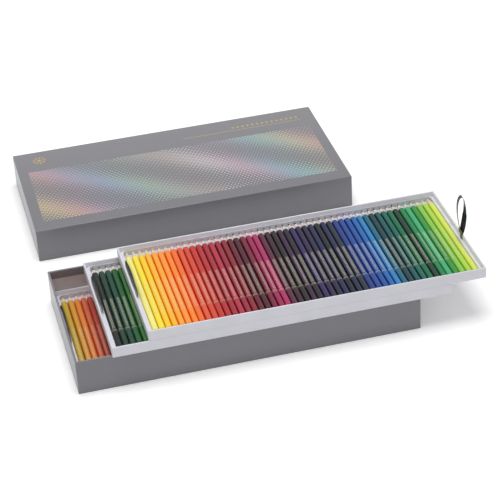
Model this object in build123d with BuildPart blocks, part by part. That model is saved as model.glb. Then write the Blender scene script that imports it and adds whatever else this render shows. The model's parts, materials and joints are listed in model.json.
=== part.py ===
from build123d import *
from math import cos, pi, sin
import os

os.makedirs("parts", exist_ok=True)

# Pencil set in a rigid paper-covered box: a base with three lift-out trays and a full-depth lid.
# Millimetres, +X to the right, +Y to the back, +Z up. The origin is the middle of the base's
# underside. The two upper trays lie stepped to the right on the base's rim, and the lid stands
# mouth down behind the base.

# ---------------------------------------------------------------- driving dimensions
# Pencils, sharpened, lying front to back with their points at the back
pencil_diameter = 7.85
pencil_length = 175.5
pencil_sides = 12
pencil_gap = 0.1            # between neighbours in a row
cone_length = 15.5          # shoulder to blunt point
core_diameter = 3.2
core_sides = 6
point_diameter = 0.8        # blunt end of the core

# Trays of folded white card
tray_wall = 2.0
tray_floor = 1.2
tray_height = 13.4
tray_corner = 0.8           # flat across each outside corner
left_gap = 5.0              # room for a folded ribbon beside the first pencil
right_gap = 3.6             # the same beside the last pencil
point_gap = 1.5             # pencil points to the back wall
butt_gap = 7.5              # pencil ends to the front wall

# Greyboard, covering paper and lining
board = 2.0
wrap_paper = 0.3
lining_paper = 0.2
turn_in = 11.0              # covering paper turned over the rim, on the inside
stay_tape = 0.15            # paper tape that ties the board's corners
stay_leg = 14.0
stay_margin = 3.0           # tape ends short of the board's edges

# Play and fits
tray_end_play = 0.4         # tray to base at each end
tray_side_play = 3.15       # tray to base at front and back when it lies in the middle
stack_play = 2.1            # stowed trays to the rim
back_gap = 0.3              # bottom tray pushed back against the base's back wall
lid_clearance = 0.4         # base to lid, all round
lid_reveal = 1.9            # strip of the base that a closed lid leaves bare

# Places of the loose pieces
tray_step = 43.3            # each upper tray to the right of the one below
tray_overhang = 4.25        # upper trays past the base's front face
lid_distance = 96.0         # clear table between the base and the lid
lid_shift = 3.5

# Ribbon pulls
ribbon_width = 6.5
ribbon_thickness = 0.35
ribbon_offset = -14.0       # in front of the tray's middle
ribbon_space = 0.4          # moving loop to its glued tail
folded_length = 76.0        # left pulls, laid back along the wall
folded_bulge = 3.2
hidden_bulge = 1.6          # right pulls that lie under a tray
raised_length = 55.0        # the right pull of the top tray, standing up
raised_bulge = 12.0
raised_gap = 0.6            # raised loop above its tail
loop_facets = 18

# Pencils of the top tray, left to right, by colour family
top_family_counts = {
    "yellow": 4,
    "orange": 5,
    "red": 7,
    "wine": 6,
    "violet": 6,
    "navy": 5,
    "blue": 5,
    "teal": 4,
    "green": 5,
    "lime": 3,
}
middle_open = "dark_green"
middle_covered = ["olive", "ochre", "brown", "grey", "black"]
bottom_open = "amber"
bottom_covered = ["salmon", "rose", "purple", "sky", "mint"]

# ---------------------------------------------------------------- sizes that follow
pencil_count = sum(top_family_counts.values())
pencil_pitch = pencil_diameter + pencil_gap
row_width = pencil_count * pencil_pitch - pencil_gap
barrel_length = pencil_length - cone_length

tray_length = row_width + left_gap + right_gap + 2 * tray_wall
tray_width = pencil_length + point_gap + butt_gap + 2 * tray_wall

shell = board + 2 * wrap_paper              # board with its covering on both faces
panel = wrap_paper + board + lining_paper   # closed face with its lining
base_length = tray_length + 2 * tray_end_play + 2 * shell
base_width = tray_width + 2 * tray_side_play + 2 * shell
base_height = panel + 3 * tray_height + stack_play
lid_length = base_length + 2 * lid_clearance + 2 * shell
lid_width = base_width + 2 * lid_clearance + 2 * shell
lid_height = base_height - lid_reveal + panel
lid_y = base_width / 2 + lid_distance + lid_width / 2

# Middle of each tray's underside
bottom_place = Vector(0, tray_side_play - back_gap, panel)
middle_x = -base_length / 2 + tray_step + tray_length / 2
upper_y = -base_width / 2 - tray_overhang + tray_width / 2
middle_place = Vector(middle_x, upper_y, base_height)
top_place = Vector(middle_x + tray_step, upper_y, base_height + tray_height)


def save(part, name):
    part.label = name
    export_step(part, f"parts/{name}.step")


# ---------------------------------------------------------------- rigid boxes
def corner_stays(name, face, length, width, height):
    """Paper tape round the four corners of the board, under the covering."""
    inner_length = length - 2 * wrap_paper
    inner_width = width - 2 * wrap_paper
    with BuildPart() as stays:
        with BuildSketch(face.offset(wrap_paper + stay_margin)):
            Rectangle(inner_length + 2 * stay_tape, inner_width + 2 * stay_tape)
            Rectangle(inner_length, inner_width, mode=Mode.SUBTRACT)
            Rectangle(length, inner_width - 2 * stay_leg, mode=Mode.SUBTRACT)
            Rectangle(inner_length - 2 * stay_leg, width, mode=Mode.SUBTRACT)
        extrude(amount=height - 2 * wrap_paper - 2 * stay_margin)
    save(stays.part, name)
    return stays.part


def board_shell(name, face, length, width, height):
    """Greyboard blank folded up into a tray: one panel and four walls."""
    outer_length = length - 2 * wrap_paper
    outer_width = width - 2 * wrap_paper
    with BuildPart() as blank:
        with BuildSketch(face.offset(wrap_paper)):
            Rectangle(outer_length, outer_width)
        extrude(amount=height - 2 * wrap_paper)
        with BuildSketch(face.offset(wrap_paper + board)):
            Rectangle(outer_length - 2 * board, outer_width - 2 * board)
        extrude(amount=height, mode=Mode.SUBTRACT)
    save(blank.part, name)


def covering(name, face, length, width, height, stays, over_panel):
    """Covering paper: round the walls, over the rim and turned in on the inside.

    It also lies over the panel where over_panel is true."""
    under_board = wrap_paper if over_panel else 0
    mouth_length = length - 2 * shell
    mouth_width = width - 2 * shell
    with BuildPart() as paper:
        with BuildSketch(face):
            Rectangle(length, width)
        extrude(amount=height)
        with BuildSketch(face.offset(under_board)):
            Rectangle(length - 2 * wrap_paper, width - 2 * wrap_paper)
        extrude(amount=height - wrap_paper - under_board, mode=Mode.SUBTRACT)
        with BuildSketch(face.offset(height - turn_in)):
            Rectangle(mouth_length + 2 * wrap_paper, mouth_width + 2 * wrap_paper)
        extrude(amount=turn_in)
        with BuildSketch(face.offset(height - turn_in)):
            Rectangle(mouth_length, mouth_width)
        extrude(amount=turn_in, mode=Mode.SUBTRACT)
        add(stays, mode=Mode.SUBTRACT)
    save(paper.part, name)


def lining(name, face, length, width, height):
    """Thin inner paper: over the panel and up the walls to the turned-in edge."""
    outer_length = length - 2 * wrap_paper - 2 * board
    outer_width = width - 2 * wrap_paper - 2 * board
    with BuildPart() as paper:
        with BuildSketch(face.offset(wrap_paper + board)):
            Rectangle(outer_length, outer_width)
        extrude(amount=height - turn_in - wrap_paper - board)
        with BuildSketch(face.offset(panel)):
            Rectangle(outer_length - 2 * lining_paper, outer_width - 2 * lining_paper)
        extrude(amount=height, mode=Mode.SUBTRACT)
    save(paper.part, name)


def rigid_box(prefix, face, length, width, height, over_panel):
    stays = corner_stays(f"{prefix}_corner_stays", face, length, width, height)
    board_shell(f"{prefix}_board", face, length, width, height)
    covering(f"{prefix}_wrap", face, length, width, height, stays, over_panel)
    lining(f"{prefix}_lining", face, length, width, height)


base_face = Plane.XY
rigid_box("base", base_face, base_length, base_width, base_height, over_panel=False)

# The base's underside has a sheet of its own, inside the covering of the walls.
with BuildPart() as base_underside_sheet:
    with BuildSketch(base_face):
        Rectangle(base_length - 2 * wrap_paper, base_width - 2 * wrap_paper)
    extrude(amount=wrap_paper)
save(base_underside_sheet.part, "base_underside_sheet")

# The lid is the same box turned over, standing on its rim.
lid_face = Plane(origin=(lid_shift, lid_y, lid_height), x_dir=(1, 0, 0), z_dir=(0, 0, -1))
rigid_box("lid", lid_face, lid_length, lid_width, lid_height, over_panel=True)


# ---------------------------------------------------------------- trays
def tray(name, place):
    """Open tray of folded card, with its upright corners slightly blunted."""
    underside = Plane(origin=place)
    with BuildPart() as body:
        with BuildSketch(underside):
            outline = Rectangle(tray_length, tray_width)
            chamfer(outline.vertices(), length=tray_corner)
        extrude(amount=tray_height)
        with BuildSketch(underside.offset(tray_floor)):
            Rectangle(tray_length - 2 * tray_wall, tray_width - 2 * tray_wall)
        extrude(amount=tray_height, mode=Mode.SUBTRACT)
    save(body.part, name)


# ---------------------------------------------------------------- ribbon pulls
def loop_outline(length, bulge, side):
    """One face of a ribbon bent to a teardrop: side is 1 for its outside and -1 for its inside.

    The loop is pinched at its foot and round at its top, and x is across it."""
    half = ribbon_thickness / 2
    # 0.77 is the largest value that sin(a) * sin(a / 2) takes
    widest = (bulge / 2 - half) / 0.77
    reach = length - half
    points = []
    for step in range(1, loop_facets):
        angle = 2 * pi * step / loop_facets
        across = widest * sin(angle) * sin(angle / 2)
        along = reach * (1 - cos(angle)) / 2
        run = Vector(
            widest * (cos(angle) * sin(angle / 2) + sin(angle) * cos(angle / 2) / 2),
            reach * sin(angle) / 2,
        ).normalized()
        if abs(across) > half or step * 2 == loop_facets:
            points.append((across + side * half * run.Y, along - side * half * run.X))
    return points


def ribbon_loop(name, foot, length, bulge):
    """Loop of flat ribbon. The foot plane's x is across the loop and its y is along it."""
    doubled = 2 * ribbon_thickness
    outside = loop_outline(length, bulge, 1)
    inside = loop_outline(length, bulge, -1)
    with BuildPart() as loop:
        with BuildSketch(foot):
            with BuildLine():
                Polyline((doubled / 2, 0), *outside, (-doubled / 2, 0), close=True)
            make_face()
            with BuildLine():
                Polyline(*inside, close=True)
            make_face(mode=Mode.SUBTRACT)
        extrude(amount=ribbon_width / 2, both=True)
    save(loop.part, name)


def ribbon_pair(tier, place, right_is_raised):
    """The two pulls of a tray, and the tails that are glued inside its end walls."""
    inside_left = place.X - tray_length / 2 + tray_wall
    inside_right = place.X + tray_length / 2 - tray_wall
    floor = place.Z + tray_floor
    rim = place.Z + tray_height
    ribbon_y = place.Y + ribbon_offset
    doubled = 2 * ribbon_thickness
    band_middle = floor + ribbon_space + ribbon_width / 2

    # A folded loop lies back along the wall with its band on edge.
    left_x = inside_left + doubled + ribbon_space + folded_bulge / 2
    left_foot = Plane(origin=(left_x, ribbon_y, band_middle), x_dir=(1, 0, 0), z_dir=(0, 0, 1))
    ribbon_loop(f"{tier}_ribbon_left", left_foot, folded_length, folded_bulge)

    if right_is_raised:
        tail_top = rim - raised_gap / 2
        right_foot = Plane(origin=(inside_right - ribbon_thickness, ribbon_y, rim + raised_gap / 2),
                           x_dir=(1, 0, 0), z_dir=(0, -1, 0))
        ribbon_loop(f"{tier}_ribbon_right", right_foot, raised_length, raised_bulge)
    else:
        tail_top = floor + ribbon_space + ribbon_width
        right_x = inside_right - doubled - ribbon_space - hidden_bulge / 2
        right_foot = Plane(origin=(right_x, ribbon_y, band_middle),
                           x_dir=(1, 0, 0), z_dir=(0, 0, 1))
        ribbon_loop(f"{tier}_ribbon_right", right_foot, folded_length, hidden_bulge)

    with BuildPart() as tails:
        with BuildSketch(Plane.XY.offset(floor)):
            with Locations((inside_left + ribbon_thickness, ribbon_y)):
                Rectangle(doubled, ribbon_width)
        extrude(amount=ribbon_space + ribbon_width)
        with BuildSketch(Plane.XY.offset(floor)):
            with Locations((inside_right - ribbon_thickness, ribbon_y)):
                Rectangle(doubled, ribbon_width)
        extrude(amount=tail_top - floor)
    save(tails.part, f"{tier}_ribbon_tails")


# ---------------------------------------------------------------- pencils
# The cone's sides fall evenly from the barrel to the blunt point, and the core shows
# where the cone is thinner than the core.
cone_slope = (pencil_diameter - point_diameter) / 2 / cone_length
wood_cone = (pencil_diameter - core_diameter) / 2 / cone_slope
core_cone = cone_length - wood_cone

# Section plane at the pencil's butt, looking along the pencil, with its flats level and upright
butt_face = Plane(origin=(0, 0, 0), x_dir=(1, 0, 0), z_dir=(0, 1, 0))

with BuildPart() as wooden_pencil:
    with BuildSketch(butt_face):
        RegularPolygon(pencil_diameter / 2, pencil_sides, major_radius=False,
                       rotation=180 / pencil_sides)
    extrude(amount=barrel_length + wood_cone)
    cut_end = wooden_pencil.faces().sort_by(Axis.Y)[-1]
    chamfer(cut_end.edges(), length=(pencil_diameter - core_diameter) / 2, length2=wood_cone,
            reference=cut_end)

# The core is sharpened over its whole length, and the stretch inside the wood is cut away.
with BuildPart() as core_point:
    with BuildSketch(butt_face):
        RegularPolygon(core_diameter / 2, core_sides, major_radius=False)
    extrude(amount=pencil_length)
    tip = core_point.faces().sort_by(Axis.Y)[-1]
    chamfer(tip.edges(), length=(core_diameter - point_diameter) / 2, length2=core_cone,
            reference=tip)
    split(bisect_by=butt_face.offset(barrel_length + wood_cone), keep=Keep.TOP)


def pencil_places(place, first, last):
    """Butt centres of pencils first to last - 1 of the row in the tray at this place."""
    row_left = place.X - tray_length / 2 + tray_wall + left_gap
    butt_y = place.Y - tray_width / 2 + tray_wall + butt_gap
    axis_z = place.Z + tray_floor + pencil_diameter / 2
    return [
        (row_left + pencil_diameter / 2 + number * pencil_pitch, butt_y, axis_z)
        for number in range(first, last)
    ]


def pencils(name, shape, place, first, last):
    with BuildPart() as row:
        with Locations(*pencil_places(place, first, last)):
            add(shape)
    save(row.part, name)


def open_pencils(place, above):
    """How many pencils the tray above leaves quite uncovered."""
    left_end = place.X - tray_length / 2 + tray_wall + left_gap
    cover = above.X - tray_length / 2
    return int((cover - left_end) // pencil_pitch)


def covered_tray(tier, place, above, open_name, covered_names):
    """Row whose first pencils are open to the hand, and the rest lie under the tray above."""
    opened = open_pencils(place, above)
    pencils(f"{tier}_pencils_{open_name}", wooden_pencil.part, place, 0, opened)
    pencils(f"{tier}_points_open", core_point.part, place, 0, opened)
    covered = pencil_count - opened
    for index, family in enumerate(covered_names):
        first = opened + covered * index // len(covered_names)
        last = opened + covered * (index + 1) // len(covered_names)
        pencils(f"{tier}_pencils_{family}", wooden_pencil.part, place, first, last)
    pencils(f"{tier}_points_covered", core_point.part, place, opened, pencil_count)


# ---------------------------------------------------------------- the three tiers
for tier, place in {"bottom": bottom_place, "middle": middle_place, "top": top_place}.items():
    tray(f"{tier}_tray", place)
    ribbon_pair(tier, place, right_is_raised=tier == "top")

covered_tray("bottom", bottom_place, middle_place, bottom_open, bottom_covered)
covered_tray("middle", middle_place, top_place, middle_open, middle_covered)

first = 0
for family, count in top_family_counts.items():
    pencils(f"top_pencils_{family}", wooden_pencil.part, top_place, first, first + count)
    first += count

# The standing ribbon hangs over the last family, which stays in the tray when the others are
# lifted, so its points are a piece of their own.
under_ribbon = top_family_counts["lime"]
pencils("top_points_open", core_point.part, top_place, 0, pencil_count - under_ribbon)
pencils("top_points_under_ribbon", core_point.part, top_place,
        pencil_count - under_ribbon, pencil_count)

print(f"trays {tray_length:.1f} x {tray_width:.1f} x {tray_height:.1f}")
print(f"base {base_length:.1f} x {base_width:.1f} x {base_height:.1f}")
print(f"lid {lid_length:.1f} x {lid_width:.1f} x {lid_height:.1f}, centre y {lid_y:.1f}")
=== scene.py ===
import json
import random
from math import atan2, cos, pi, radians, sin

import bpy
from mathutils import Matrix, Vector


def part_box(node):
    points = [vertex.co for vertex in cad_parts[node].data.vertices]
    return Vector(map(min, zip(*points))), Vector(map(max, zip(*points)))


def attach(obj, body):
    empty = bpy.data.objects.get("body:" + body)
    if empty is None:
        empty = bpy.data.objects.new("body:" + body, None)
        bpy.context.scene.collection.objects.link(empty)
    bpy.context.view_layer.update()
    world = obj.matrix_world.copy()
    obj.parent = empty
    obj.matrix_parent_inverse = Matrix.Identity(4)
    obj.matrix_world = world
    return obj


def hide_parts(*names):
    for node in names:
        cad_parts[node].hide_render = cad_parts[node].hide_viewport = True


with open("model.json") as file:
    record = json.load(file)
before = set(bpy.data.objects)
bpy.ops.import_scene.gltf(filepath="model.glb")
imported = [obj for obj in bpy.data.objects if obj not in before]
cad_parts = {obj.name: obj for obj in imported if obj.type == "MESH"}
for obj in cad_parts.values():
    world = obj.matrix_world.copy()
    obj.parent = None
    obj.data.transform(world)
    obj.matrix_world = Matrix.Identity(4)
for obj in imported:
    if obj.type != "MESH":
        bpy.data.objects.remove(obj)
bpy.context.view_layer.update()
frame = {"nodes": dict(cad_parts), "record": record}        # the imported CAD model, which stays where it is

# Pencil set in a paper-covered box: stepped lift-out trays in front, the lid behind.
# Sizes come from the CAD nodes' boxes. What is only looks stands in the dictionaries.

mm = 0.001
bodyOf = {
    node: body
    for body, nodes in frame["record"]["behaviour"]["bodies"].items()
    for node in nodes
}
random.seed(11)
bpy.ops.object.select_all(action="DESELECT")


# ---- camera and light

camera = {
    "lens": 130.01,
    "azimuth": -12.716,
    "elevation": 32.62,
    "roll": -3.377,
    "distance": 2.272417,
    "target": Vector((0.046978, 0.088701, 0.030)),
}


def addCamera():
    turn, lift, roll = (radians(camera[key]) for key in ("azimuth", "elevation", "roll"))
    back = Vector((sin(turn) * cos(lift), -cos(turn) * cos(lift), sin(lift)))
    right = Vector((0, 0, 1)).cross(back).normalized()
    up = back.cross(right)
    bpy.ops.object.camera_add(location=camera["target"] + back * camera["distance"])
    eye = bpy.context.object
    eye.name = "photoCamera"
    rolledRight = right * cos(roll) + up * sin(roll)
    rolledUp = up * cos(roll) - right * sin(roll)
    eye.rotation_euler = Matrix((rolledRight, rolledUp, back)).transposed().to_euler()
    eye.data.sensor_width = 36
    eye.data.lens = camera["lens"]
    eye.data.clip_start = 0.05
    eye.data.clip_end = 60
    bpy.context.scene.camera = eye


lamps = {
    "topKey": {"place": (-0.1, 0.05, 3.2), "size": 2.1, "power": 64},
    "frontFill": {"place": (-0.6, -2.6, 2.2), "size": 2.2, "power": 7},
}
studio = {
    "lampAim": Vector((0.05, 0.12, 0.03)),
    "skyStrength": 0.5,
    "floorSize": 16,
    "floorGlow": 0.16,
    "floorDrop": 0.05 * mm,     # below the box, so that the two never share a plane
}


def addLamps():
    for name, lamp in lamps.items():
        bpy.ops.object.light_add(type="AREA", location=lamp["place"])
        light = bpy.context.object
        light.name = name
        light.data.shape = "DISK"
        light.data.size = lamp["size"]
        light.data.energy = lamp["power"]
        aim = studio["lampAim"] - light.location
        light.rotation_euler = aim.to_track_quat("-Z", "Y").to_euler()


# ---- small helpers for nodes

def toLinear(part):
    # the sRGB curve for one channel
    return part / 12.92 if part <= 0.04045 else ((part + 0.055) / 1.055) ** 2.4


def linear(code):
    # a written colour such as "d8a23c" as shaders take it
    parts = [int(code[place:place + 2], 16) / 255 for place in (0, 2, 4)]
    return tuple(toLinear(part) for part in parts) + (1.0,)


def plug(tree, socket, value):
    if isinstance(value, bpy.types.NodeSocket):
        tree.links.new(value, socket)
    else:
        socket.default_value = value


def doMath(tree, operation, *values):
    node = tree.nodes.new("ShaderNodeMath")
    node.operation = operation
    for socket, value in zip(node.inputs, values):
        plug(tree, socket, value)
    return node.outputs[0]


def add(tree, one, other):
    return doMath(tree, "ADD", one, other)


def subtract(tree, one, other):
    return doMath(tree, "SUBTRACT", one, other)


def multiply(tree, one, other):
    return doMath(tree, "MULTIPLY", one, other)


def divide(tree, one, other):
    return doMath(tree, "DIVIDE", one, other)


def larger(tree, one, other):
    return doMath(tree, "MAXIMUM", one, other)


def squareSum(tree, one, other):
    return add(tree, multiply(tree, one, one), multiply(tree, other, other))


def inStep(tree, value):
    # place within each whole step, from -0.5 to 0.5
    return subtract(tree, doMath(tree, "FRACT", value), 0.5)


def blendColours(tree, factor, first, second, way="MIX"):
    node = tree.nodes.new("ShaderNodeMix")
    node.data_type = "RGBA"
    node.blend_type = way
    plug(tree, node.inputs[0], factor)
    plug(tree, node.inputs[6], first)
    plug(tree, node.inputs[7], second)
    return node.outputs[2]


def remap(tree, value, low, high, newLow, newHigh):
    node = tree.nodes.new("ShaderNodeMapRange")
    plug(tree, node.inputs["Value"], value)
    limits = {"From Min": low, "From Max": high, "To Min": newLow, "To Max": newHigh}
    for name, number in limits.items():
        plug(tree, node.inputs[name], number)
    return node.outputs["Result"]


def between(tree, value, low, high):
    above = doMath(tree, "GREATER_THAN", value, low)
    below = doMath(tree, "LESS_THAN", value, high)
    return multiply(tree, above, below)


def noise(tree, vector, scale, detail=3.0):
    node = tree.nodes.new("ShaderNodeTexNoise")
    plug(tree, node.inputs["Vector"], vector)
    plug(tree, node.inputs["Scale"], scale)
    node.inputs["Detail"].default_value = detail
    return node.outputs["Fac"]


def stretched(tree, vector, scale, shift=(0, 0, 0)):
    node = tree.nodes.new("ShaderNodeMapping")
    plug(tree, node.inputs["Vector"], vector)
    node.inputs["Scale"].default_value = scale
    node.inputs["Location"].default_value = shift
    return node.outputs["Vector"]


def objectPlace(tree):
    return tree.nodes.new("ShaderNodeTexCoord").outputs["Object"]


def splitVector(tree, vector):
    node = tree.nodes.new("ShaderNodeSeparateXYZ")
    plug(tree, node.inputs[0], vector)
    return node.outputs[0], node.outputs[1], node.outputs[2]


def bumped(tree, height, strength, distance):
    node = tree.nodes.new("ShaderNodeBump")
    node.inputs["Strength"].default_value = strength
    node.inputs["Distance"].default_value = distance
    plug(tree, node.inputs["Height"], height)
    return node.outputs["Normal"]


def newMaterial(name, **constants):
    material = bpy.data.materials.new(name)
    material.use_nodes = True
    tree = material.node_tree
    tree.nodes.clear()
    output = tree.nodes.new("ShaderNodeOutputMaterial")
    shader = tree.nodes.new("ShaderNodeBsdfPrincipled")
    tree.links.new(shader.outputs["BSDF"], output.inputs["Surface"])
    for label, value in constants.items():
        shader.inputs[label.replace("_", " ")].default_value = value
    return material, tree, shader


def newGroup(name, takes, gives):
    group = bpy.data.node_groups.new(name, "ShaderNodeTree")
    for label, value in takes.items():
        socket = group.interface.new_socket(label, in_out="INPUT", socket_type="NodeSocketFloat")
        socket.default_value = value
    for label, kind in gives.items():
        group.interface.new_socket(label, in_out="OUTPUT", socket_type=kind)
    return group, group.nodes.new("NodeGroupInput"), group.nodes.new("NodeGroupOutput")


def useGroup(tree, group, **values):
    node = tree.nodes.new("ShaderNodeGroup")
    node.node_tree = group
    for label, value in values.items():
        plug(tree, node.inputs[label], value)
    return node.outputs


# ---- effects that several finishes share

def makeFibreGroup():
    # pulp: soft clouds with short fibres over them
    group, start, end = newGroup("paperFibre", {"Grain": 900.0},
                                 {"Tone": "NodeSocketFloat", "Height": "NodeSocketFloat"})
    place = objectPlace(group)
    clouds = noise(group, place, 45.0, 2.0)
    fibres = noise(group, stretched(group, place, (1, 0.35, 0.6)), start.outputs["Grain"], 4.0)
    tone = add(group, multiply(group, clouds, 0.6), multiply(group, fibres, 0.4))
    group.links.new(tone, end.inputs["Tone"])
    group.links.new(fibres, end.inputs["Height"])
    return group


def makeWearGroup():
    # rubbed edges, broken up along their length
    group, start, end = newGroup("edgeWear", {"Width": 0.0008, "Amount": 0.5},
                                 {"Mask": "NodeSocketFloat"})
    rounded = group.nodes.new("ShaderNodeBevel")
    rounded.samples = 4
    group.links.new(start.outputs["Width"], rounded.inputs["Radius"])
    flat = group.nodes.new("ShaderNodeNewGeometry")
    turn = group.nodes.new("ShaderNodeVectorMath")
    turn.operation = "DOT_PRODUCT"
    group.links.new(rounded.outputs["Normal"], turn.inputs[0])
    group.links.new(flat.outputs["True Normal"], turn.inputs[1])
    edge = remap(group, turn.outputs["Value"], 0.99, 0.8, 0.0, 1.0)
    patches = remap(group, noise(group, objectPlace(group), 160.0, 4.0), 0.42, 0.66, 0.15, 1.0)
    mask = multiply(group, multiply(group, edge, patches), start.outputs["Amount"])
    group.links.new(mask, end.inputs["Mask"])
    return group


fibreGroup = makeFibreGroup()
wearGroup = makeWearGroup()


# ---- covering paper, with a print of dots on the lid

lidLow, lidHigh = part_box("lid_wrap")
lidArt = {
    # lengths in mm, from the lid's middle
    "middle": (lidLow + lidHigh) / 2,
    "halfLength": 197,          # the printed field
    "near": -82,
    "far": 50,
    "skin": 0.3,                # what lies this close under the lid's top counts as top
    "pitch": 5.0,
    "rowShare": 0.866,          # rows of dots stand closer than columns
    "waveHeight": 9,
    "waveLength": 17,
    "swellWave": (24.0, 15.0),
    "dotRadius": (0.2, 0.47),   # shares of the pitch, least and most
    "dotEdge": 0.03,
    "dotStrength": 0.8,
    "colourSlant": 0.45,
    "colourMargin": 10,
    "colours": ["cfc18c", "d79aa2", "a9a3bd", "8fa9cb", "a3c4a6", "a7a7a8", "b8a396",
                "d6d5da", "d4a4b5", "93b8d2", "90c1b6", "d3c79c", "cf8f95"],
    "foil": "c9ad62",
    "foilMetal": 0.9,
}
foilRing = {"left": 178.0, "up": 78.0, "inner": 5.5, "outer": 9.0, "petals": 9.0, "hub": 3.0}
foilRule = {"low": 70.6, "high": 71.6, "start": 22.0, "end": 190.0}
lozengeRow = {"up": 79.0, "start": 91.0, "end": 189.0, "pitch": 7.0, "reach": 2.2, "flat": 0.75}


def foilMask(group, x, y):
    # a ring of petals at the back left, a rule under a row of lozenges at the back right
    ringX = add(group, x, foilRing["left"])
    ringY = subtract(group, y, foilRing["up"])
    ringReach = doMath(group, "SQRT", squareSum(group, ringX, ringY))
    turns = multiply(group, doMath(group, "ARCTAN2", ringY, ringX), foilRing["petals"])
    petals = doMath(group, "GREATER_THAN", doMath(group, "COSINE", turns), 0.0)
    band = between(group, ringReach, foilRing["inner"], foilRing["outer"])
    hub = doMath(group, "LESS_THAN", ringReach, foilRing["hub"])
    ring = larger(group, multiply(group, band, petals), hub)

    rule = multiply(group, between(group, y, foilRule["low"], foilRule["high"]),
                    between(group, x, foilRule["start"], foilRule["end"]))

    beside = doMath(group, "ABSOLUTE", inStep(group, divide(group, x, lozengeRow["pitch"])))
    above = doMath(group, "ABSOLUTE", subtract(group, y, lozengeRow["up"]))
    lozenge = add(group, multiply(group, beside, lozengeRow["pitch"]),
                  multiply(group, above, lozengeRow["flat"]))
    lozenges = multiply(group, doMath(group, "LESS_THAN", lozenge, lozengeRow["reach"]),
                        between(group, x, lozengeRow["start"], lozengeRow["end"]))
    return larger(group, larger(group, ring, rule), lozenges)


def makeDotPrint():
    # dots that swell and shrink in slanting waves, each row shifted along a slow curve
    group, start, end = newGroup("dotPrint", {"Size": 1.0},
                                 {"Mask": "NodeSocketFloat", "Colour": "NodeSocketColor",
                                  "Foil": "NodeSocketFloat"})
    inMm = stretched(group, objectPlace(group), (1000, 1000, 1000), lidArt["middle"] * -1000)
    x, y, z = splitVector(group, inMm)
    wave = doMath(group, "SINE", divide(group, x, lidArt["waveLength"] * 2))
    curve = multiply(group, wave, lidArt["waveHeight"])
    column = divide(group, x, lidArt["pitch"])
    row = divide(group, add(group, y, curve), lidArt["pitch"] * lidArt["rowShare"])
    halfSteps = multiply(group, doMath(group, "FLOOR", row), 0.5)
    across = inStep(group, add(group, column, halfSteps))
    along = inStep(group, row)
    reach = doMath(group, "SQRT", squareSum(group, across, along))
    slant = add(group, divide(group, x, lidArt["swellWave"][0]),
                divide(group, y, lidArt["swellWave"][1]))
    swell = remap(group, doMath(group, "SINE", slant), -1.0, 1.0, *lidArt["dotRadius"])
    inside = subtract(group, multiply(group, swell, start.outputs["Size"]), reach)
    dot = remap(group, inside, -lidArt["dotEdge"], lidArt["dotEdge"], 0.0, 1.0)
    field = multiply(group, between(group, x, -lidArt["halfLength"], lidArt["halfLength"]),
                     between(group, y, lidArt["near"], lidArt["far"]))
    topFrom = (lidHigh.z - lidArt["middle"].z) * 1000 - lidArt["skin"]
    onTop = doMath(group, "GREATER_THAN", z, topFrom)
    field = multiply(group, field, onTop)
    group.links.new(multiply(group, dot, field), end.inputs["Mask"])

    ramp = group.nodes.new("ShaderNodeValToRGB")
    ramp.color_ramp.interpolation = "B_SPLINE"
    stops = lidArt["colours"]
    while len(ramp.color_ramp.elements) < len(stops):
        ramp.color_ramp.elements.new(0.5)
    for number, code in enumerate(stops):
        ramp.color_ramp.elements[number].position = number / (len(stops) - 1)
        ramp.color_ramp.elements[number].color = linear(code)
    drift = add(group, x, multiply(group, y, lidArt["colourSlant"]))
    driftEnd = lidArt["halfLength"] + lidArt["colourMargin"]
    group.links.new(remap(group, drift, -driftEnd, driftEnd, 0.0, 1.0), ramp.inputs["Fac"])
    group.links.new(ramp.outputs["Color"], end.inputs["Colour"])

    foil = multiply(group, foilMask(group, x, y), onTop)
    group.links.new(foil, end.inputs["Foil"])
    return group


covering = {
    "grey": "6e6d73",
    "cloudy": "828187",
    "rubbed": "a09fa5",
    "roughness": (0.42, 0.54),
}


def coveringPaper(name, printed):
    material, tree, shader = newMaterial(name, Coat_Weight=0.85, Coat_Roughness=0.3,
                                         Coat_IOR=1.5)
    pulp = useGroup(tree, fibreGroup, Grain=1100.0)
    wear = useGroup(tree, wearGroup, Width=0.0007, Amount=0.35)["Mask"]
    clouds = remap(tree, pulp["Tone"], 0.3, 0.7, 0.0, 0.16)
    grey = blendColours(tree, clouds, linear(covering["grey"]), linear(covering["cloudy"]))
    colour = blendColours(tree, wear, grey, linear(covering["rubbed"]))
    rough = remap(tree, pulp["Tone"], 0.2, 0.8, *covering["roughness"])
    if printed:
        dots = useGroup(tree, makeDotPrint(), Size=1.0)
        shown = multiply(tree, dots["Mask"], lidArt["dotStrength"])
        colour = blendColours(tree, shown, colour, dots["Colour"])
        colour = blendColours(tree, dots["Foil"], colour, linear(lidArt["foil"]))
        metal = multiply(tree, dots["Foil"], lidArt["foilMetal"])
        tree.links.new(metal, shader.inputs["Metallic"])
    tree.links.new(colour, shader.inputs["Base Color"])
    tree.links.new(rough, shader.inputs["Roughness"])
    tree.links.new(bumped(tree, pulp["Height"], 0.12, 0.00008), shader.inputs["Normal"])
    return material


# ---- other papers and boards

def plainPaper(name, colour, second, grain, rough, relief, coat=0.0):
    material, tree, shader = newMaterial(name, Coat_Weight=coat, Coat_Roughness=0.35)
    pulp = useGroup(tree, fibreGroup, Grain=grain)
    wear = useGroup(tree, wearGroup, Width=0.0006, Amount=0.25)["Mask"]
    clouds = remap(tree, pulp["Tone"], 0.3, 0.7, 0.0, 1.0)
    tint = blendColours(tree, clouds, linear(colour), linear(second))
    tree.links.new(blendColours(tree, wear, tint, linear("eeeeec")), shader.inputs["Base Color"])
    roughness = remap(tree, pulp["Tone"], 0.2, 0.8, rough, rough + 0.15)
    tree.links.new(roughness, shader.inputs["Roughness"])
    tree.links.new(bumped(tree, pulp["Height"], relief, 0.0001), shader.inputs["Normal"])
    return material


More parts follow.
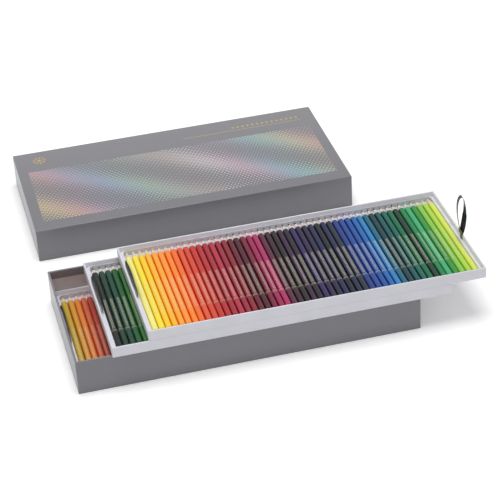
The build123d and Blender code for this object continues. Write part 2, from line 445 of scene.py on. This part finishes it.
def formedSheet():
    # thin white plastic, with the faint ripple that forming leaves
    material, tree, shader = newMaterial("formedSheet", Coat_Weight=0.2, Coat_Roughness=0.2)
    place = objectPlace(tree)
    ripple = noise(tree, place, 60.0, 2.0)
    dust = noise(tree, place, 700.0, 3.0)
    cloudy = remap(tree, ripple, 0.3, 0.7, 0.0, 1.0)
    tint = blendColours(tree, cloudy, linear("dedee4"), linear("d2d2da"))
    wear = useGroup(tree, wearGroup, Width=0.0005, Amount=0.3)["Mask"]
    tree.links.new(blendColours(tree, wear, tint, linear("f6f6f8")), shader.inputs["Base Color"])
    tree.links.new(remap(tree, dust, 0.3, 0.7, 0.32, 0.44), shader.inputs["Roughness"])
    tree.links.new(bumped(tree, ripple, 0.25, 0.0004), shader.inputs["Normal"])
    return material


# ---- pencil lacquer, bare wood, core and foil marks, all read from each pencil's own UV map

pencil = {
    "sides": 16,
    "cone": 15.5 * mm,          # shoulder to point
    "coreRadius": 1.6 * mm,
    "pointRadius": 0.4 * mm,
    "dip": 0.5 * mm,            # softened edge of the butt
    "foilFrom": 36,             # mm from the butt
    "foilTo": 98,
    "beadPitch": 2.2,
    "beadRadius": 0.5,
    "dashPitch": 1.5,
    "dashRows": ((0.6, 1.05, 0.0), (1.2, 1.6, 0.5)),
    "ringPlaces": (31.4, 33.2),
    "ringWidth": 0.6,
    "dashShare": 0.28,          # half a dash, as a share of its pitch
    "markStrength": (0.62, 0.5),  # on dark and on light lacquer
    "wavePerTurn": 6,           # the knife's edge between lacquer and wood
    "waveHeight": 0.22,
    "roll": 12,                 # degrees that a pencil may lie turned
    "slim": 0.975,              # so that the lacquered barrels don't rub
    "grooveFrom": 2.8,          # mm round from the top, where painted shade begins to darken the lacquer towards its neighbours
    "grooveTo": 5.3,
    "grooveShade": 0.85,
    "slip": 0.25 * mm,          # that it may lie further back
}
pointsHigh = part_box("top_points_open")[1]
rowLow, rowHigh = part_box("top_pencils_yellow")
pencil["length"] = pointsHigh.y - rowLow.y
pencil["radius"] = (rowHigh.z - rowLow.z) / 2


def lacquer():
    material, tree, shader = newMaterial("pencilLacquer", Coat_Roughness=0.1, Coat_IOR=1.45,
                                         Specular_IOR_Level=0.14)
    length = pencil["length"] * 1000
    girth = 2 * pi * pencil["radius"] * 1000
    paint = tree.nodes.new("ShaderNodeAttribute")
    paint.attribute_name = "paint"
    uv = tree.nodes.new("ShaderNodeUVMap")
    uv.uv_map = "pencilMap"
    u, v = splitVector(tree, uv.outputs["UV"])[:2]
    along = multiply(tree, v, length)
    fromTop = multiply(tree, subtract(tree, u, 0.5), girth)
    across = doMath(tree, "ABSOLUTE", fromTop)

    # fine marks along the upper side: a chain of beads between rows of staggered dashes
    def beat(pitch, shift=0.0):
        return inStep(tree, add(tree, divide(tree, along, pitch), shift))

    stretch = multiply(tree, beat(pencil["beadPitch"]), pencil["beadPitch"])
    reach = squareSum(tree, stretch, across)
    marks = doMath(tree, "LESS_THAN", reach, pencil["beadRadius"] ** 2)
    for near, far, shift in pencil["dashRows"]:
        offBeat = doMath(tree, "ABSOLUTE", beat(pencil["dashPitch"], shift))
        row = doMath(tree, "LESS_THAN", offBeat, pencil["dashShare"])
        marks = larger(tree, marks, multiply(tree, row, between(tree, across, near, far)))
    marks = multiply(tree, marks, between(tree, along, pencil["foilFrom"], pencil["foilTo"]))
    for place in pencil["ringPlaces"]:
        marks = larger(tree, marks, between(tree, along, place, place + pencil["ringWidth"]))

    # the knife's edge on the lacquer is a little wavy
    turns = multiply(tree, u, 2 * pi * pencil["wavePerTurn"])
    wave = multiply(tree, doMath(tree, "SINE", turns), pencil["waveHeight"])
    shoulder = length - pencil["cone"] * 1000 + 0.2
    bare = doMath(tree, "GREATER_THAN", add(tree, along, wave), shoulder)
    slope = (pencil["radius"] - pencil["pointRadius"]) / pencil["cone"]
    coreStart = length - (pencil["coreRadius"] - pencil["pointRadius"]) / slope * 1000
    core = doMath(tree, "GREATER_THAN", along, coreStart)

    place = objectPlace(tree)
    grain = noise(tree, stretched(tree, place, (1, 0.08, 1)), 2600.0, 4.0)
    rings = remap(tree, grain, 0.35, 0.65, 0.0, 1.0)
    wood = blendColours(tree, rings, linear("e8ddd6"), linear("cdbbb0"))
    speckle = noise(tree, place, 1800.0, 2.0)
    dust = remap(tree, speckle, 0.3, 0.7, 0.0, 0.04)
    coat = blendColours(tree, dust, paint.outputs["Color"], linear("ffffff"))
    # painted shade: the lacquer darkens round the sides of each pencil, towards the grooves between
    # neighbours
    paintedShadeColour = blendColours(tree, 1.0, coat, paint.outputs["Color"], way="MULTIPLY")
    groove = remap(tree, across, pencil["grooveFrom"], pencil["grooveTo"],
                   0.0, pencil["grooveShade"])
    coat = blendColours(tree, groove, coat, paintedShadeColour)
    glint = remap(tree, noise(tree, place, 900.0, 2.0), 0.35, 0.65, 0.0, 1.0)
    foil = blendColours(tree, glint, linear("d5cda8"), linear("f2efe2"))
    brightness = tree.nodes.new("ShaderNodeRGBToBW")
    tree.links.new(paint.outputs["Color"], brightness.inputs["Color"])
    strength = remap(tree, brightness.outputs["Val"], 0.0, 0.6, *pencil["markStrength"])
    colour = blendColours(tree, multiply(tree, marks, strength), coat, foil)
    colour = blendColours(tree, bare, colour, wood)
    colour = blendColours(tree, core, colour, paint.outputs["Color"])
    tree.links.new(colour, shader.inputs["Base Color"])
    tree.links.new(multiply(tree, marks, 0.3), shader.inputs["Metallic"])
    rough = add(tree, remap(tree, speckle, 0.3, 0.7, 0.24, 0.32), multiply(tree, bare, 0.4))
    tree.links.new(rough, shader.inputs["Roughness"])
    tree.links.new(remap(tree, bare, 0.0, 1.0, 0.08, 0.0), shader.inputs["Coat Weight"])
    height = multiply(tree, bare, grain)
    tree.links.new(bumped(tree, height, 0.3, 0.0002), shader.inputs["Normal"])
    return material


# ---- satin ribbon, woven along its own UV map

ribbon = {
    "thickness": 0.35 * mm,
    "ribs": 420,
    "threads": 22,
    "colour": "232325",
    "sheen": "505055",
    "hem": "161617",
}


def satin():
    material, tree, shader = newMaterial("ribbonSatin", Sheen_Weight=0.2, Sheen_Roughness=0.4,
                                         Anisotropic=0.5, Specular_IOR_Level=0.7)
    uv = tree.nodes.new("ShaderNodeUVMap")
    uv.uv_map = "UVMap"
    u, v = splitVector(tree, uv.outputs["UV"])[:2]
    rib = doMath(tree, "PINGPONG", multiply(tree, u, ribbon["ribs"]), 0.5)
    thread = doMath(tree, "PINGPONG", multiply(tree, v, ribbon["threads"]), 0.5)
    weave = multiply(tree, rib, thread)
    fromMiddle = doMath(tree, "ABSOLUTE", subtract(tree, v, 0.5))
    hem = doMath(tree, "GREATER_THAN", fromMiddle, 0.44)
    # painted sheen: the raised threads of the weave get a lighter colour, as if they caught the light
    paintedSheenMask = remap(tree, weave, 0.0, 0.25, 0.0, 0.5)
    colour = blendColours(tree, paintedSheenMask, linear(ribbon["colour"]), linear(ribbon["sheen"]))
    colour = blendColours(tree, multiply(tree, hem, 0.4), colour, linear(ribbon["hem"]))
    tree.links.new(colour, shader.inputs["Base Color"])
    tree.links.new(remap(tree, weave, 0.0, 0.25, 0.24, 0.34), shader.inputs["Roughness"])
    tree.links.new(bumped(tree, weave, 0.4, 0.0001), shader.inputs["Normal"])
    return material


finishes = {
    "baseCover": coveringPaper("baseCovering", printed=False),
    "lidCover": coveringPaper("lidCovering", printed=True),
    "lining": plainPaper("liningPaper", "c9c5c6", "bcb7b8", grain=1300.0,
                         rough=0.6, relief=0.25),
    "greyboard": plainPaper("greyboard", "918d86", "7d7972", grain=700.0,
                            rough=0.75, relief=0.5),
    "kraft": plainPaper("kraftTape", "b09468", "9a7e55", grain=900.0,
                        rough=0.6, relief=0.4),
    "card": plainPaper("trayCard", "dfdfe6", "d7d7df", grain=1200.0,
                       rough=0.45, relief=0.15, coat=0.25),
    "sheet": formedSheet(),
    "lacquer": lacquer(),
    "satin": satin(),
}
print("finishes made:", ", ".join(finishes))


# ---- helpers for modelling

tolerance = 0.1 * mm        # two places this close count as one


def makeActive(piece):
    bpy.ops.object.select_all(action="DESELECT")
    piece.select_set(True)
    bpy.context.view_layer.objects.active = piece


def namePiece(name):
    # names the primitive that was just added and puts its place into its mesh
    piece = bpy.context.object
    piece.name = name
    piece.data.name = name
    bpy.ops.object.transform_apply(location=True, rotation=True, scale=True)
    return piece


def clearChoice(piece, byFaces):
    if bpy.context.mode == "EDIT_MESH":
        bpy.ops.object.mode_set(mode="OBJECT")
    bpy.context.tool_settings.mesh_select_mode = (False, not byFaces, byFaces)
    for parts in (piece.data.vertices, piece.data.edges, piece.data.polygons):
        parts.foreach_set("select", [False] * len(parts))


def chooseFaces(piece, wanted):
    clearChoice(piece, byFaces=True)
    for face in piece.data.polygons:
        face.select = wanted(face.center, face.normal)
    bpy.ops.object.mode_set(mode="EDIT")


def chooseEdges(piece, wanted):
    clearChoice(piece, byFaces=False)
    corners = piece.data.vertices
    for edge in piece.data.edges:
        edge.select = wanted(corners[edge.vertices[0]].co, corners[edge.vertices[1]].co)
    bpy.ops.object.mode_set(mode="EDIT")


def leaveEdit():
    bpy.ops.object.mode_set(mode="OBJECT")


def finishWith(piece, kind, **settings):
    modifier = piece.modifiers.new(kind.title(), kind)
    for name, value in settings.items():
        setattr(modifier, name, value)
    makeActive(piece)
    bpy.ops.object.modifier_apply(modifier=modifier.name)


def smoothed(piece, degrees):
    makeActive(piece)
    bpy.ops.object.shade_smooth_by_angle(angle=radians(degrees))


def faceOutward(piece):
    makeActive(piece)
    bpy.ops.object.mode_set(mode="EDIT")
    bpy.ops.mesh.select_all(action="SELECT")
    bpy.ops.mesh.normals_make_consistent(inside=False)
    leaveEdit()


def joined(pieces, name):
    bpy.ops.object.select_all(action="DESELECT")
    for piece in pieces:
        piece.select_set(True)
    bpy.context.view_layer.objects.active = pieces[0]
    bpy.ops.object.join()
    whole = bpy.context.object
    whole.name = name
    whole.data.name = name
    return whole


def dress(piece, finish, slot, *nodes):
    piece.data.materials.clear()
    piece.data.materials.append(finishes[finish])
    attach(piece, bodyOf[nodes[0]])
    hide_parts(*nodes)


def openBlock(name, low, high, rim, depth, mouth):
    # a block whose mouth (1 is up, -1 is down) is inset by the rim and pushed in
    bpy.ops.mesh.primitive_cube_add(size=1, location=(low + high) / 2, scale=high - low)
    piece = namePiece(name)
    chooseFaces(piece, lambda centre, normal: normal.z * mouth > 0.9)
    bpy.ops.mesh.inset(thickness=rim)
    bpy.ops.mesh.extrude_region_move(TRANSFORM_OT_translate={"value": (0, 0, -mouth * depth)})
    leaveEdit()
    return piece


# ---- covering of the base and the lid

cover = {"rim": 2.6 * mm, "turnIn": 11 * mm, "paper": 0.3 * mm, "edge": 0.7 * mm}


def wrappedCover(name, node, finish, mouth):
    low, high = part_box(node)
    piece = openBlock(name, low, high, cover["rim"], cover["turnIn"], mouth)
    # the paper ends inside, below the rim, and the base's panel has a sheet of its own
    innerEnd = high.z - cover["turnIn"] if mouth > 0 else low.z + cover["turnIn"]

    def isInnerEnd(centre, normal):
        return abs(centre.z - innerEnd) < tolerance and abs(normal.z) > 0.9

    chooseFaces(piece, isInnerEnd)
    bpy.ops.mesh.delete(type="FACE")
    if mouth > 0:
        chooseFaces(piece, lambda centre, normal: normal.z < -0.9)
        bpy.ops.mesh.delete(type="FACE")
    leaveEdit()
    finishWith(piece, "BEVEL", width=cover["edge"], segments=3,
               limit_method="ANGLE", angle_limit=radians(40))
    finishWith(piece, "SOLIDIFY", thickness=cover["paper"], offset=-1, use_even_offset=True)
    smoothed(piece, 35)
    dress(piece, finish, "covering_paper", node)
    return piece


wrappedCover("baseCover", "base_wrap", "baseCover", mouth=1)
wrappedCover("lidCover", "lid_wrap", "lidCover", mouth=-1)
print("base and lid covered")


# ---- trays of folded card

tray = {"wall": 2 * mm, "floor": 1.2 * mm, "corner": 0.8 * mm, "fold": 0.4 * mm}


def cardTray(name, node):
    low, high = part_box(node)
    piece = openBlock(name, low, high, tray["wall"], high.z - low.z - tray["floor"], mouth=1)

    def outerCorner(one, other):
        upright = abs(one.x - other.x) < tolerance and abs(one.y - other.y) < tolerance
        outside = min(one.x - low.x, high.x - one.x) < tolerance
        return upright and outside

    chooseEdges(piece, outerCorner)
    bpy.ops.mesh.bevel(offset=tray["corner"], segments=3, affect="EDGES")
    leaveEdit()
    finishWith(piece, "BEVEL", width=tray["fold"], segments=2,
               limit_method="ANGLE", angle_limit=radians(50))
    smoothed(piece, 35)
    dress(piece, "card", "tray_card", node)


for tier in ("bottom", "middle", "top"):
    cardTray(f"{tier}CardTray", f"{tier}_tray")
print("trays folded")


# ---- formed collars: thin white sheet round each row, with a flange to the tray's walls

collar = {
    "sheet": 0.4 * mm,
    "play": 0.15 * mm,          # to the row of pencils
    "wallPlay": 0.2 * mm,       # flange to the tray's walls
    "rise": 6.0 * mm,           # flange above the tray's floor
    "front": 1.8 * mm,          # width of the flange there
    "back": 0.35 * mm,
    "corner": 4.5 * mm,
    "mouthEdge": 0.8 * mm,
}


def formedCollar(name, trayNode, firstRow, lastRow):
    trayLow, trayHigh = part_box(trayNode)
    inset = tray["wall"] + collar["wallPlay"]
    low = Vector((trayLow.x + inset, trayLow.y + inset, trayLow.z + tray["floor"]))
    high = Vector((trayHigh.x - inset, trayHigh.y - inset, low.z + collar["rise"]))
    margin = collar["play"] + collar["sheet"]
    wellLow = Vector((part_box(firstRow)[0].x - margin, low.y + collar["front"], low.z))
    wellHigh = Vector((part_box(lastRow)[1].x + margin, high.y - collar["back"], high.z))
    bpy.ops.mesh.primitive_cube_add(
        size=1, location=(wellLow + wellHigh) / 2, scale=wellHigh - wellLow)
    piece = namePiece(name)
    chooseEdges(piece, lambda one, other: abs(one.z - other.z) > 1 * mm)
    bpy.ops.mesh.bevel(offset=collar["corner"], segments=6, affect="EDGES")
    leaveEdit()
    chooseFaces(piece, lambda centre, normal: normal.z < -0.9)
    bpy.ops.mesh.delete(type="FACE")
    leaveEdit()

    # the mouth is drawn out to the flange's edge
    stretchX = (high.x - low.x) / (wellHigh.x - wellLow.x)
    stretchY = (high.y - low.y) / (wellHigh.y - wellLow.y)
    still = ((low.x - wellLow.x * stretchX) / (1 - stretchX),
             (low.y - wellLow.y * stretchY) / (1 - stretchY), high.z)
    chooseFaces(piece, lambda centre, normal: normal.z > 0.9)
    bpy.ops.mesh.extrude_region_move(TRANSFORM_OT_translate={"value": (0, 0, 0)})
    bpy.ops.transform.resize(value=(stretchX, stretchY, 1), center_override=still)
    bpy.ops.mesh.delete(type="FACE")
    leaveEdit()

    def onMouth(one, other):
        slack = tolerance / 2
        level = min(one.z, other.z) > high.z - slack
        inside = all(
            wellLow.x - slack < end.x < wellHigh.x + slack
            and wellLow.y - slack < end.y < wellHigh.y - collar["corner"] + slack
            for end in (one, other))
        return level and inside

    chooseEdges(piece, onMouth)
    bpy.ops.mesh.bevel(offset=collar["mouthEdge"], segments=3, affect="EDGES")
    leaveEdit()
    finishWith(piece, "SOLIDIFY", thickness=collar["sheet"], offset=-1, use_even_offset=True)
    smoothed(piece, 40)
    piece.data.materials.clear()
    piece.data.materials.append(finishes["sheet"])
    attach(piece, bodyOf[trayNode])


rowEnds = {
    "bottom": ("bottom_pencils_amber", "bottom_pencils_mint"),
    "middle": ("middle_pencils_dark_green", "middle_pencils_black"),
    "top": ("top_pencils_yellow", "top_pencils_lime"),
}
for tier, (firstRow, lastRow) in rowEnds.items():
    formedCollar(f"{tier}FormedCollar", f"{tier}_tray", firstRow, lastRow)
print("collars formed")


# ---- pencils

pencilColours = {
    "top_pencils_yellow": "f6ef86 fae43c fbd126 fbbb27",
    "top_pencils_orange": "fca92e fb9a38 fa8b2a f1722a e15a36",
    "top_pencils_red": "d7482f c5332e b6282e a62235 b32b43 9a213c 8d1d2e",
    "top_pencils_wine": "651629 4c1426 791838 9d1d54 ac2862 591a3b",
    "top_pencils_violet": "341924 24181e 35193c 221726 2d2257 291b45",
    "top_pencils_navy": "1f1b3c 1b214a 141726 162145 1f293b",
    "top_pencils_blue": "1f3b82 224898 1d519e 2366ad 2a81be",
    "top_pencils_teal": "176680 0e3c43 0b5659 0c6557",
    "top_pencils_green": "0e6b48 0e3b2a 1b844f 41ad75 349541",
    "top_pencils_lime": "8cc84f b0d84a dae65c",
    "middle_pencils_dark_green": "0f1b16 0d3928 0d4532 16582b",
    "middle_pencils_olive": "357531 648e31 74832b 7f7f35 948e3d 646327 4d5624 3c4420 565730",
    "middle_pencils_ochre": "a18539 b58f39 c39a44 ac7e37 986a2e 885c2a ab713b c28851 955b33",
    "middle_pencils_brown": "734227 5e341f 4f2a1b 6d3b29 7c4734 563027 40241e 341f1b 4c332b",
    "middle_pencils_grey": "888480 706e6c a3a09d b5b4b2 878b8f 61666c 4a4e54 393d42 c9c9ca",
    "middle_pencils_black":
        "292b2e 1f1f22 141517 efeeea d8c37a b9b9be 9a734c 242429 1b1c1f 111213",
    "bottom_pencils_amber": "c9a832 d99b30 e58735 e27048",
    "bottom_pencils_salmon": "d7594b bf4143 e88a7c eda08c f0b39c f3c3ad e79aa0 e58896 d6728a",
    "bottom_pencils_rose": "c35a81 b14d81 da7fa6 e59ab8 a14074 8d3972 c270a4 d88fbe 7f3777",
    "bottom_pencils_purple": "71387b 633c7f 8e64a6 b08cc8 563b80 483f84 6f6aaf 948ecf 404b8f",
    "bottom_pencils_sky": "506aae 6b8dcb 86aade 9ec2e8 559bd0 3a88b7 6ab6d8 8accdf 47a1ad",
    "bottom_pencils_mint":
        "51afa1 6ec2ae 8cd0b8 a6dcc4 5cb88c 6cc47c 8ed08a aadc98 c2e6a6 d8efbc",
}


def sharpenedPencil():
    # one pencil with its butt at the origin and its point towards +Y
    shoulder = pencil["length"] - pencil["cone"]
    slope = (pencil["radius"] - pencil["pointRadius"]) / pencil["cone"]
    woodLength = (pencil["radius"] - pencil["coreRadius"]) / slope
    barrel = shoulder - pencil["dip"]
    bpy.ops.mesh.primitive_cylinder_add(
        vertices=pencil["sides"], radius=pencil["radius"], depth=barrel,
        location=(0, pencil["dip"] + barrel / 2, 0), rotation=(pi / 2, 0, 0))
    piece = namePiece("sharpenedPencil")

    def draw(towards, length, narrower):
        # pulls the end face out and shrinks it
        chooseFaces(piece, lambda centre, normal: normal.y * towards > 0.99)
        reach = (0, towards * length, 0)
        bpy.ops.mesh.extrude_region_move(TRANSFORM_OT_translate={"value": reach})
        bpy.ops.transform.resize(value=(narrower, 1, narrower), center_override=(0, 0, 0))
        leaveEdit()

    draw(-1, pencil["dip"], 1 - pencil["dip"] / pencil["radius"])
    draw(1, woodLength, pencil["coreRadius"] / pencil["radius"])
    draw(1, pencil["cone"] - woodLength, pencil["pointRadius"] / pencil["coreRadius"])

    def ringEdge(one, other):
        level = abs(one.y - other.y) < tolerance / 10
        return level and (one.y < pencil["dip"] / 2 or one.y > shoulder - tolerance)

    chooseEdges(piece, ringEdge)
    bpy.ops.mesh.mark_sharp()
    leaveEdit()

    # u runs once round from the underside, v from the butt to the point
    layer = piece.data.uv_layers.active
    layer.name = "pencilMap"
    for face in piece.data.polygons:
        turns = []
        for corner in face.loop_indices:
            spot = piece.data.vertices[piece.data.loops[corner].vertex_index].co
            turns.append(atan2(spot.x, -spot.z) / (2 * pi) % 1)
        seam = max(turns) - min(turns) > 0.5 and len(turns) == 4
        for corner, turn in zip(face.loop_indices, turns):
            spot = piece.data.vertices[piece.data.loops[corner].vertex_index].co
            if seam and turn < 0.5:
                turn += 1
            layer.data[corner].uv = (turn, spot.y / pencil["length"])
    makeActive(piece)
    bpy.ops.object.shade_smooth_by_angle(angle=radians(30), keep_sharp_edges=True)
    return piece


def layPencils(master, node, codes):
    low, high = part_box(node)
    pitch = (high.x - low.x - 2 * pencil["radius"]) / (len(codes) - 1)
    row = []
    for number, code in enumerate(codes):
        copy = master.copy()
        copy.data = master.data.copy()
        bpy.context.collection.objects.link(copy)
        slip = random.uniform(0, pencil["slip"])
        sink = pencil["radius"] * (1 - pencil["slim"])
        copy.location = (low.x + pencil["radius"] + number * pitch, low.y + slip,
                         (low.z + high.z) / 2 - sink)
        roll = random.uniform(-pencil["roll"], pencil["roll"])
        copy.rotation_euler = (0, radians(roll), 0)
        copy.scale = (pencil["slim"], 1, pencil["slim"])
        paint = copy.data.color_attributes.new("paint", "FLOAT_COLOR", "CORNER")
        paint.data.foreach_set("color", linear(code) * len(paint.data))
        row.append(copy)
    tier, family = node.split("_pencils_")
    piece = joined(row, f"{tier}Pencils.{family}")
    bpy.ops.object.transform_apply(location=True, rotation=True, scale=True)
    return piece


def pointsOf(node):
    # the CAD keeps the cores of a row as nodes of their own
    tier = node.split("_")[0]
    if tier == "top":
        return "top_points_under_ribbon" if node.endswith("lime") else "top_points_open"
    isOpen = bodyOf[node].endswith("open_pencils")
    return f"{tier}_points_open" if isOpen else f"{tier}_points_covered"


master = sharpenedPencil()
for node, codes in pencilColours.items():
    piece = layPencils(master, node, codes.split())
    dress(piece, "lacquer", "lacquer_" + node.split("_pencils_")[1], node, pointsOf(node))
bpy.data.objects.remove(master)
print("pencils laid:", sum(len(codes.split()) for codes in pencilColours.values()))


# ---- ribbon pulls

pull = {
    "steps": 64,
    "widest": 0.77,             # the teardrop formula's own greatest width
    # standing loop: share of its way from the right foot, degrees
    "turns": ((0.0, 40), (0.15, 55), (0.22, 40), (0.29, 10), (0.36, -4), (0.5, -6),
              (0.85, -8), (0.93, 32), (1.0, 40)),
    "footTurn": 0.1,            # share of the turn at the very foot
    "footGrowth": 2.2,          # how soon the whole turn is reached above it
    "narrow": 0.86,             # standing loop, of the bulge
    "short": 0.975,             # and of the height
    "sway": -1.2 * mm,          # standing loop, sideways at its upper end
    "lift": 4.9 * mm,           # folded loops lie on the collar's flange
    "spread": 0.5 * mm,         # and lean against the first pencil with their upper edge
    "tuck": -0.2,               # share of the bulge at the lower edge there
    "ripple": 0.2 * mm,
    "rippleTurn": 160,          # radians for each metre of ribbon
    "layerShare": 0.94,         # glued layers, so that the two never share a plane
}


def turnAt(share):
    for (start, first), (end, last) in zip(pull["turns"], pull["turns"][1:]):
        if share <= end:
            blend = (share - start) / (end - start)
            blend = blend * blend * (3 - 2 * blend)
            return radians(first + (last - first) * blend)
    return radians(pull["turns"][-1][1])


def ribbonLoop(name, node, standing, inner=1):
    # a strap whose ends meet at the foot, bent round to a teardrop
    low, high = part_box(node)
    middle = (low + high) / 2
    size = high - low
    length = size.z if standing else size.y
    width = size.y if standing else size.z
    bulge = size.x
    bpy.ops.mesh.primitive_grid_add(x_subdivisions=pull["steps"], y_subdivisions=4, size=1)
    piece = namePiece(name)
    half = ribbon["thickness"] / 2
    for vertex in piece.data.vertices:
        share = vertex.co.x + 0.5
        angle = 2 * pi * share
        side = 1 if vertex.co.x < 0 else -1
        out = (bulge / 2 - half) / pull["widest"] * sin(angle) * sin(angle / 2)
        out = side * max(abs(out), half)
        reach = (length - half) * (1 - cos(angle)) / 2
        across = vertex.co.y * width
        rounding = sin(angle / 2)
        if standing:
            # the band turns about its own line, so that one strand shows its flat side
            grown = min(1, rounding * pull["footGrowth"] + pull["footTurn"])
            turn = turnAt(share) * grown
            out = out * pull["narrow"] + pull["sway"] * rounding * rounding
            reach *= pull["short"]
            vertex.co = (middle.x + out - across * sin(turn), middle.y + across * cos(turn),
                         low.z + reach)
        else:
            out += pull["ripple"] * sin(reach * pull["rippleTurn"]) * rounding
            if side == inner:
                upper = out + inner * pull["spread"] * rounding
                lower = pull["tuck"] * out
                out = lower + (upper - lower) * (vertex.co.y + 0.5)
            vertex.co = (middle.x + out, low.y + reach, middle.z + across + pull["lift"])
    finishWith(piece, "SOLIDIFY", thickness=ribbon["thickness"], offset=0)
    faceOutward(piece)
    smoothed(piece, 50)
    dress(piece, "satin", "ribbon", node)


def ribbonTails(name, node, rightTop):
    # the glued ends at both end walls, two layers each
    low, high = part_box(node)
    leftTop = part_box(node.replace("tails", "left"))[1].z + pull["lift"]
    layers = []
    for wallX, inward, top in ((low.x, 1, leftTop), (high.x, -1, rightTop)):
        for layer in (0, 1):
            bpy.ops.mesh.primitive_grid_add(x_subdivisions=12, y_subdivisions=3, size=1)
            strap = namePiece("ribbonLayer")
            for vertex in strap.data.vertices:
                rise = low.z + (vertex.co.x + 0.5) * (top - low.z)
                out = wallX + inward * ribbon["thickness"] * (layer + 0.5)
                across = (low.y + high.y) / 2 + vertex.co.y * (high.y - low.y)
                vertex.co = (out, across, rise)
            thickness = ribbon["thickness"] * pull["layerShare"]
            finishWith(strap, "SOLIDIFY", thickness=thickness, offset=0)
            layers.append(strap)
    piece = joined(layers, name)
    faceOutward(piece)
    smoothed(piece, 50)
    dress(piece, "satin", "ribbon", node)


for tier in ("bottom", "middle", "top"):
    ribbonLoop(f"{tier}RibbonLeft", f"{tier}_ribbon_left", standing=False)
    ribbonLoop(f"{tier}RibbonRight", f"{tier}_ribbon_right", standing=tier == "top", inner=-1)
    tails = f"{tier}_ribbon_tails"
    ribbonTails(f"{tier}RibbonTails", tails, rightTop=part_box(tails)[1].z)
print("ribbons tied")


# ---- finishes of the CAD pieces that stay

kept = {
    "base_board": "greyboard",
    "lid_board": "greyboard",
    "base_lining": "lining",
    "lid_lining": "lining",
    "base_corner_stays": "kraft",
    "lid_corner_stays": "kraft",
    "base_underside_sheet": "baseCover",
}
for node, finish in kept.items():
    for holder in frame["nodes"][node].material_slots:
        holder.material = finishes[finish]
print("CAD pieces finished:", len(kept))


# ---- floor and sky

def straightRays(tree):
    # what the camera sees, straight or mirrored in the object
    rays = tree.nodes.new("ShaderNodeLightPath")
    seen = larger(tree, rays.outputs["Is Camera Ray"], rays.outputs["Is Glossy Ray"])
    return larger(tree, seen, rays.outputs["Is Transmission Ray"])


def makeStudio():
    bpy.ops.mesh.primitive_plane_add(
        size=studio["floorSize"], location=(0, 0, -studio["floorDrop"]))
    floor = namePiece("floorSheet")
    material, tree, shader = newMaterial("floorPaper", Roughness=0.9, Specular_IOR_Level=0.1)
    pulp = useGroup(tree, fibreGroup, Grain=500.0)
    tree.links.new(remap(tree, pulp["Tone"], 0.2, 0.8, 0.985, 1.0), shader.inputs["Base Color"])
    glow = remap(tree, straightRays(tree), 0.0, 1.0, 0.0, studio["floorGlow"])
    tree.links.new(glow, shader.inputs["Emission Strength"])
    shader.inputs["Emission Color"].default_value = linear("ffffff")
    floor.data.materials.append(material)

    world = bpy.data.worlds.new("studioSky")
    bpy.context.scene.world = world
    world.use_nodes = True
    tree = world.node_tree
    tree.nodes.clear()
    sky = tree.nodes.new("ShaderNodeBackground")
    strength = remap(tree, straightRays(tree), 0.0, 1.0, studio["skyStrength"], 1.0)
    tree.links.new(strength, sky.inputs["Strength"])
    output = tree.nodes.new("ShaderNodeOutputWorld")
    tree.links.new(sky.outputs[0], output.inputs["Surface"])


makeStudio()
addLamps()
addCamera()
bpy.context.scene.view_settings.view_transform = "Standard"
print("studio lit")
